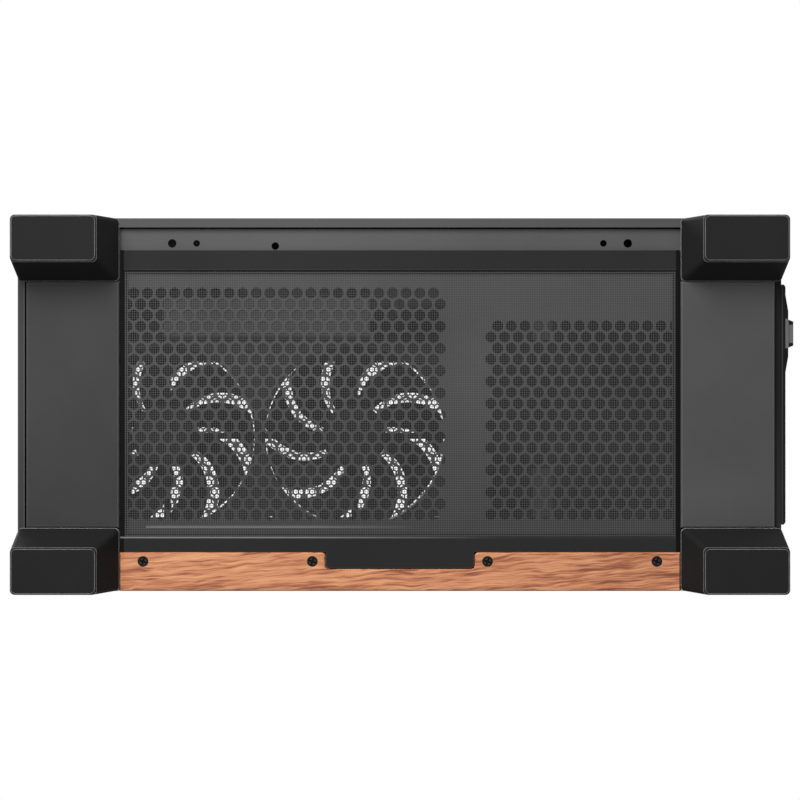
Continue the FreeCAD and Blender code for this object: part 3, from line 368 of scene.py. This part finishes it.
FINISH = {
    "black_steel": coated("powder coat", tone(66), tone(70), **COAT),
    "black_plastic": coated("moulded plastic", tone(50), tone(56), edge=tone(100), **MOULDED),
    "walnut_wood": wooden("oiled wood"),
    "smoked_glass": glazed("smoked glass"),
    "rubber": coated("rubber", tone(28), tone(33), **RUBBER),
    "fan_plastic": coated("fan plastic", tone(18), tone(23), **FAN),
    "mesh_nylon": coated("filter mesh", tone(84), tone(92), **NYLON),
    "screw_metal": coated("black zinc", tone(14), tone(20), edge=tone(112), reach=0.0003, **ZINC),
    "brass": coated("brass", tone(196, 160, 96), tone(208, 174, 110), **BRASS),
    "port_metal": coated("plated port", tone(170), tone(186), **PLATED),
}
# The feet get a bright painted highlight along their edges
FOOT = coated("foot plastic", tone(27), tone(31), edge=tone(185), **FOOT_SKIN)
# Darker copies of the steel coat for pieces inside the case: painted shade, less of it on the
# drive cage and tray
INNER_SHADE = coated("inner coat painted darker as shade", tone(26), tone(31), **COAT)
CAGE_SHADE = coated("cage coat painted darker as shade", tone(50), tone(56), **COAT)
SPECIAL = {
    # The filter frame carries painted shade at its ends and painted highlights on its edges and
    # chamfer
    "filter_frame": coated("filter plastic", tone(33), tone(37), edge=tone(58),
                           patches=filter_patches(), **MATT),
    "rear_retainer": coated("retainer plastic", tone(17), tone(21), edge=tone(40),
                            patches=retainer_patches(), **MATT),
    # The same plastic as the front cover, painted paler as light, with a painted highlight along
    # its edges
    "rear_base_cover": coated("rear plastic painted paler as light", tone(65), tone(72), edge=tone(110), **MOULDED),
    # The pan's coat carries painted shade and a painted glint
    "floor_pan": coated("pan coat", tone(68), tone(75), patches=pan_patches(), **COAT),
    "wood_screws": coated("wood screw coat", tone(42), tone(48),
                          patches=screw_patches(), **SCREW_COAT),
    "drive_cage": CAGE_SHADE,
    "drive_tray": CAGE_SHADE,
}
SPECIAL.update({name: FOOT for name in frame["nodes"] if name.endswith("_foot")})
for name in ("top_frame", "front_frame", "motherboard_tray", "psu_shroud",
             "left_sill", "right_sill"):
    SPECIAL[name] = INNER_SHADE


def finish_of(target):
    return SPECIAL.get(target, FINISH[SLOTS[target]])


for name, item in frame["nodes"].items():
    item.data.materials.clear()
    item.data.materials.append(finish_of(name))


# Meshes for the pieces that carry fine detail in place of plain solids
def add_mesh(name, vertices, faces):
    mesh = bpy.data.meshes.new(name)
    mesh.from_pydata(vertices, [], faces)
    mesh.validate()
    made = bpy.data.objects.new(name, mesh)
    bpy.context.scene.collection.objects.link(made)
    return made


def stand_for(target, vertices, faces):
    """Puts a finer piece of the same form in the place of a node."""
    piece = add_mesh(target + "_fine", vertices, faces)
    piece.data.materials.append(finish_of(target))
    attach(piece, body_of(target))
    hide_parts(target)


def joined(shapes):
    vertices = []
    faces = []
    for points, sides in shapes:
        first = len(vertices)
        vertices += points
        faces += [tuple(first + index for index in side) for side in sides]
    return vertices, faces


def lying(x, y, z):
    return (x * MM, y * MM, z * MM)


def facing(x, z, y):
    return (x * MM, y * MM, z * MM)


def ring(x, y, radius, count=24):
    angles = [math.tau * n / count for n in range(count)]
    return [(x + radius * math.cos(angle), y + radius * math.sin(angle)) for angle in angles]


def corners(left, right, front, back):
    return [(left, front), (right, front), (right, back), (left, back)]


# Perforated sheets
CUT_INSIDE = 1
CLOSE = 1e-5


def cut_flat(outer, holes):
    """Points and triangles of a flat outline with holes."""
    points, edges, owners = [], [], []
    for number, loop in enumerate([outer] + holes):
        first = len(points)
        points += [Vector(point) for point in loop]
        owners += [number] * len(loop)
        edges += [(first + index, first + (index + 1) % len(loop)) for index in range(len(loop))]
    flat, _, triangles, *_ = delaunay_2d_cdt(points, edges, [], CUT_INSIDE, CLOSE)
    solid = [face for face in triangles
             if len({owners[index] for index in face}) > 1 or owners[face[0]] == 0]
    return flat, solid


def pierced(outer, holes, low, high, place):
    """Vertices and faces of a flat sheet with holes, thick from low to high."""
    flat, triangles = cut_flat(outer, holes)
    count = len(flat)
    vertices = [place(x, y, level) for level in (low, high) for x, y in flat]
    sides = {}
    for triangle in triangles:
        for start, end in zip(triangle, triangle[1:] + triangle[:1]):
            sides[(start, end)] = True
    walls = [(a, b, b + count, a + count) for a, b in sides if (b, a) not in sides]
    upper = [tuple(index + count for index in triangle) for triangle in triangles]
    lower = [tuple(reversed(triangle)) for triangle in triangles]
    return vertices, upper + lower + walls


def comb(left, right, front, back, pitch, row, radius):
    """Staggered rows of hexagons that fill a rectangle."""
    cells = []
    count = int((right - left - 2 * radius) / row) + 1
    first = (left + right - (count - 1) * row) / 2
    for index in range(count):
        y = front + pitch / 2 + (pitch / 2 if index % 2 else 0.0)
        while y < back - pitch / 2 + 0.01:
            cells.append(ring(first + index * row, y, radius, 6))
            y += pitch
    return cells


# Floor: two fields of softened hexagons and the holes of the flange
PITCH, ROW = 8.573, 6.987
CELL_CORNER, CELL_FLAT = 3.62, 3.45
FAN_ROWS, FAN_FIRST_X = 21, -69.5
FAN_FIRST_Y, FAN_LAST_Y = 21.02 - 23 * PITCH, 27.0
REAR_ROWS, REAR_FIRST_X = 18, -69.2
REAR_FIRST_Y, REAR_LAST_Y = 57.28, 176.0
FLANGE_X, OUTER_Y, INNER_Y = 101.5, 143.4, 128.0
OUTER_RADIUS, INNER_RADIUS = 2.7, 2.1
SINGLE_HOLE = (99.8, -78.5, 2.4)


def cell(x, y):
    """A hexagon with softened corners."""
    points = []
    for turn in range(12):
        angle = math.radians(30 * turn)
        radius = CELL_FLAT if turn % 2 else CELL_CORNER
        points.append((x + radius * math.cos(angle), y + radius * math.sin(angle)))
    return points


def field(first_x, rows, first_y, last_y):
    """Staggered rows of cells, starting from a corner cell."""
    cells = []
    for row in range(rows):
        y = first_y + (PITCH / 2 if row % 2 else 0.0)
        while y < last_y:
            cells.append(cell(first_x + row * ROW, y))
            y += PITCH
    return cells


def flange_holes():
    front, rear = [[ring(FLANGE_X, side * OUTER_Y, OUTER_RADIUS),
                    ring(FLANGE_X, side * INNER_Y, INNER_RADIUS)] for side in (-1, 1)]
    return front + [ring(*SINGLE_HOLE)] + rear[::-1]


low, high = limits("floor_pan")
holes = field(FAN_FIRST_X, FAN_ROWS, FAN_FIRST_Y, FAN_LAST_Y)
holes += field(REAR_FIRST_X, REAR_ROWS, REAR_FIRST_Y, REAR_LAST_Y)
outline = corners(low[0], high[0], low[1], high[1])
stand_for("floor_pan", *pierced(outline, holes + flange_holes(), low[2], high[2], lying))

# Top grille and front mesh
TOP_MARGIN, TOP_CELLS = 3.2, {"pitch": 4.6, "row": 3.98, "radius": 2.0}
FRONT_MARGIN, FRONT_CELLS = 3.0, {"pitch": 5.6, "row": 4.85, "radius": 2.4}

low, high = limits("top_grille")
holes = comb(low[0] + TOP_MARGIN, high[0] - TOP_MARGIN,
             low[1] + TOP_MARGIN, high[1] - TOP_MARGIN, **TOP_CELLS)
outline = corners(low[0], high[0], low[1], high[1])
stand_for("top_grille", *pierced(outline, holes, low[2], high[2], lying))

low, high = limits("front_mesh")
holes = comb(low[0] + FRONT_MARGIN, high[0] - FRONT_MARGIN,
             low[2] + FRONT_MARGIN, high[2] - FRONT_MARGIN, **FRONT_CELLS)
outline = corners(low[0], high[0], low[2], high[2])
stand_for("front_mesh", *pierced(outline, holes, high[1], low[1], facing))

# Filter mesh: two layers of crossing threads
THREAD_PITCH = 1.45
THREAD_HALF = 0.105
BOX_SIDES = ((3, 2, 1, 0), (4, 5, 6, 7), (0, 1, 5, 4), (1, 2, 6, 5), (2, 3, 7, 6), (3, 0, 4, 7))


def bar(across, along, levels):
    points = [lying(x, y, z) for z in levels for x, y in corners(*across, *along)]
    return points, BOX_SIDES


def thread_spans(low, high):
    """The two edges of each thread that is laid between two limits."""
    for index in range(int((high - low) / THREAD_PITCH)):
        middle = low + (index + 0.5) * THREAD_PITCH
        yield (middle - THREAD_HALF, middle + THREAD_HALF)


low, high = limits("filter_mesh")
middle = (low[2] + high[2]) / 2
upper = (middle, middle + 2 * THREAD_HALF)
lower = (middle - 2 * THREAD_HALF, middle)
threads = [bar((low[0], high[0]), span, upper) for span in thread_spans(low[1], high[1])]
threads += [bar(span, (low[1], high[1]), lower) for span in thread_spans(low[0], high[0])]
stand_for("filter_mesh", *joined(threads))


# Wood screws: countersunk heads with a cross recess
def turned(profile, count=40):
    """A solid of revolution about Z from (radius, height) pairs that start and end on the axis."""
    vertices = [(0.0, 0.0, profile[0][1])]
    for radius, height in profile[1:-1]:
        vertices += [(x, y, height) for x, y in ring(0.0, 0.0, radius, count)]
    vertices.append((0.0, 0.0, profile[-1][1]))
    faces = []
    rows = len(profile) - 2
    last = 1 + (rows - 1) * count
    for n in range(count):
        follow = (n + 1) % count
        faces.append((0, 1 + follow, 1 + n))
        for base in range(1, last, count):
            faces.append((base + n, base + follow, base + count + follow, base + count + n))
        faces.append((last + n, last + follow, len(vertices) - 1))
    return vertices, faces


def prism(points, low, high):
    """An upright solid on a convex outline."""
    count = len(points)
    vertices = [(x, y, level) for level in (low, high) for x, y in points]
    faces = [tuple(reversed(range(count))), tuple(range(count, 2 * count))]
    faces += [(n, (n + 1) % count, (n + 1) % count + count, n + count) for n in range(count)]
    return vertices, faces


SCREW_FROM_END, SCREW_INNER_Y = 14.7, 55.0
HEAD_RADIUS, HEAD_HEIGHT, HEAD_SIDES = 3.3, 1.6, 32
RIM_WIDTH, RIM_HEIGHT = 0.15, 0.12
RECESS_RADIUS, RECESS_DEPTH, RECESS_TURN = 2.3, 0.7, 20
ARM_HALF, ARM_STEPS = 0.5, 5
LAND_DROP, LAND_SINK = 0.1, 0.05
SHANK_RADIUS, POINT_HEIGHT = 1.7, 1.0


def quadrant(turn):
    """A quarter disc that stops short of both cross arms."""
    start = math.asin(ARM_HALF / RECESS_RADIUS)
    points = [(ARM_HALF, ARM_HALF)]
    for step in range(ARM_STEPS + 1):
        angle = start + (math.pi / 2 - 2 * start) * step / ARM_STEPS
        points.append((RECESS_RADIUS * math.cos(angle), RECESS_RADIUS * math.sin(angle)))
    spin = math.radians(90 * turn + RECESS_TURN)
    return [(x * math.cos(spin) - y * math.sin(spin), x * math.sin(spin) + y * math.cos(spin))
            for x, y in points]


def screw(face, end):
    """One screw about the axis, from the face of its head to its point."""
    recess = face + RECESS_DEPTH
    body = turned([(0.0, recess), (RECESS_RADIUS, recess), (RECESS_RADIUS, face),
                   (HEAD_RADIUS - RIM_WIDTH, face), (HEAD_RADIUS, face + RIM_HEIGHT),
                   (SHANK_RADIUS, face + HEAD_HEIGHT), (SHANK_RADIUS, end - POINT_HEIGHT),
                   (0.0, end)], HEAD_SIDES)
    lands = [prism(quadrant(turn), face + LAND_DROP, recess + LAND_SINK) for turn in range(4)]
    return joined([body] + lands)


low, high = limits("wood_screws")
middle = (low[0] + high[0]) / 2
outer = limits("wood_strip")[1][1] - SCREW_FROM_END
points, sides = screw(low[2], high[2])
screws = [([lying(px + middle, py + y, pz) for px, py, pz in points], sides)
          for y in (-outer, -SCREW_INNER_Y, SCREW_INNER_Y, outer)]
stand_for("wood_screws", *joined(screws))

# Fan rotors: a turned hub with swept blades, heights from the lowest plane of the fan
HUB_RADIUS, HUB_LOW, HUB_HIGH = 20.0, 2.0, 20.7
HUB_ROUNDING = ((2.8, 0.0), (1.4, 0.5), (0.5, 1.4), (0.0, 2.6))
AXLE_RADIUS, AXLE_HIGH = 2.0, 24.2
BLADES = 9
ROOT, TIP = 18.5, 56.2
SWEEP, SWEEP_POWER, CHORD = 30.0, 1.56, 30.0
BLADE_LOW, BLADE_HIGH, BLADE_HALF, CAMBER = 5.0, 17.6, 0.9, 1.3
THINNEST = 0.25
STEPS_OUT, STEPS_ALONG = 12, 8


def blade_point(radius, centre, along, side):
    """A point on one side of a blade, which is thin at its edges."""
    full = math.sqrt(max(0.0, 1 - (2 * along - 1) ** 4))
    angle = math.radians(centre + CHORD * (along - 0.5))
    rise = BLADE_LOW + (BLADE_HIGH - BLADE_LOW) * along + CAMBER * math.sin(math.pi * along)
    rise += side * BLADE_HALF * max(THINNEST, full)
    return (radius * math.cos(angle), radius * math.sin(angle), rise)


def blade_points(turn):
    """A grid of points on each side, from root to tip."""
    points = []
    for side in (-1, 1):
        for step in range(STEPS_OUT + 1):
            part = step / STEPS_OUT
            radius = ROOT + (TIP - ROOT) * part
            centre = turn + SWEEP * part ** SWEEP_POWER
            points += [blade_point(radius, centre, index / STEPS_ALONG, side)
                       for index in range(STEPS_ALONG + 1)]
    return points


def blade_faces():
    """Both sides of a blade, closed at its edges."""
    faces = []
    line = STEPS_ALONG + 1
    block = (STEPS_OUT + 1) * line
    for a in range(STEPS_OUT):
        for corner in range(a * line, a * line + STEPS_ALONG):
            under = (corner, corner + line, corner + line + 1, corner + 1)
            faces += [under, tuple(index + block for index in reversed(under))]
        for corner in (a * line, a * line + STEPS_ALONG):
            faces.append((corner, corner + block, corner + line + block, corner + line))
    for first in (0, STEPS_OUT * line):
        for corner in range(first, first + STEPS_ALONG):
            faces.append((corner, corner + 1, corner + 1 + block, corner + block))
    return faces


def rotor():
    rounding = [(HUB_RADIUS - inset, HUB_LOW + rise) for inset, rise in HUB_ROUNDING]
    hub = turned([(0.0, HUB_LOW), *rounding, (HUB_RADIUS, HUB_HIGH), (AXLE_RADIUS, HUB_HIGH),
                  (AXLE_RADIUS, AXLE_HIGH), (0.0, AXLE_HIGH)])
    turns = [360.0 * (blade + 0.5) / BLADES for blade in range(BLADES)]
    return joined([hub] + [(blade_points(turn), blade_faces()) for turn in turns])


points, sides = rotor()
for target in ("front_fan_rotor", "rear_fan_rotor"):
    axle = next(joint["pos_m"] for joint in JOINTS if joint["child"] == body_of(target))
    base = limits(target)[0][2] - HUB_LOW
    placed = [lying(x + axle[0] / MM, y + axle[1] / MM, z + base) for x, y, z in points]
    stand_for(target, placed, sides)

# Camera straight below the case, with the rear to the right and the steel side up
VIEW_X, VIEW_Z = 0.0029, -1.322
SENSOR, LENS, FAR = 36.0, 96.8, 50.0
camera = bpy.data.objects.new("camera", bpy.data.cameras.new("camera"))
bpy.context.scene.collection.objects.link(camera)
camera.data.sensor_width = SENSOR
camera.data.lens = LENS
camera.data.clip_end = FAR
camera.matrix_world = Matrix(((0, 1, 0, VIEW_X), (1, 0, 0, 0), (0, 0, -1, VIEW_Z), (0, 0, 0, 1)))
bpy.context.scene.camera = camera

# Lamps: name, place, height of the aim, size and power
LAMPS = (
    ("below", (0.68, -0.35, -0.88), 0.05, 0.8, 21.0),
    ("below far", (-0.8, 0.5, -1.2), 0.05, 1.2, 5.0),
    ("above", (1.2, -1.4, 2.2), 0.2, 1.2, 18.0),
    ("above far", (-1.6, 0.6, 1.8), 0.2, 1.4, 7.0),
    ("steel side", (1.8, 1.0, 0.8), 0.25, 1.4, 12.0),
)
SKY_POWER, SKY_ANGLE, SKY_TILT = 2.3, 0.6, (0.2, 0.3, 0.0)


def add_light(name, kind, power):
    light = bpy.data.lights.new(name, kind)
    light.energy = power
    made = bpy.data.objects.new(name, light)
    bpy.context.scene.collection.objects.link(made)
    return made


for name, place, aim, size, power in LAMPS:
    lamp = add_light(name, "AREA", power)
    lamp.data.size = size
    lamp.location = place
    lamp.rotation_euler = (Vector((0, 0, aim)) - Vector(place)).to_track_quat("-Z", "Y").to_euler()
sky = add_light("sky", "SUN", SKY_POWER)
sky.data.angle = SKY_ANGLE
sky.rotation_euler = SKY_TILT

# Pale floor that shows from above only
FLOOR_HALF = 9.0
FLOOR_GRAIN, FLOOR_ROUGH, FLOOR_RELIEF, FLOOR_DEPTH = 40.0, (0.8, 0.9), 0.05, 0.001


def pale_floor(name):
    made, tree = new_material(name)
    geometry = tree.nodes.new("ShaderNodeNewGeometry")
    clear = tree.nodes.new("ShaderNodeBsdfTransparent")
    grain = noise(tree, own_place(tree), FLOOR_GRAIN)
    matt = surface(tree, two_tone(tree, grain, tone(238), tone(242)),
                   spread(tree, grain, *FLOOR_ROUGH),
                   bump(tree, grain, FLOOR_RELIEF, FLOOR_DEPTH))
    show(tree, either(tree, geometry.outputs["Backfacing"], matt, clear))
    return made


floor_corners = corners(-FLOOR_HALF, FLOOR_HALF, -FLOOR_HALF, FLOOR_HALF)
floor = add_mesh("floor", [(x, y, 0.0) for x, y in floor_corners], [(0, 1, 2, 3)])
floor.data.materials.append(pale_floor("pale floor"))
floor.visible_shadow = False
floor.visible_diffuse = False
floor.visible_glossy = False

# Surroundings: white to look at, dim as light
DIM = 0.22
WHITE = (1.0, 1.0, 1.0, 1.0)
world = bpy.data.worlds.new("surroundings")
bpy.context.scene.world = world
world.use_nodes = True
tree = world.node_tree
tree.nodes.clear()
seen = tree.nodes.new("ShaderNodeLightPath").outputs["Is Camera Ray"]
dim = node(tree, "ShaderNodeBackground", Color=WHITE, Strength=DIM)
white = node(tree, "ShaderNodeBackground", Color=WHITE, Strength=1.0)
show(tree, either(tree, seen, dim, white), "ShaderNodeOutputWorld")

bpy.context.scene.view_settings.view_transform = "Standard"
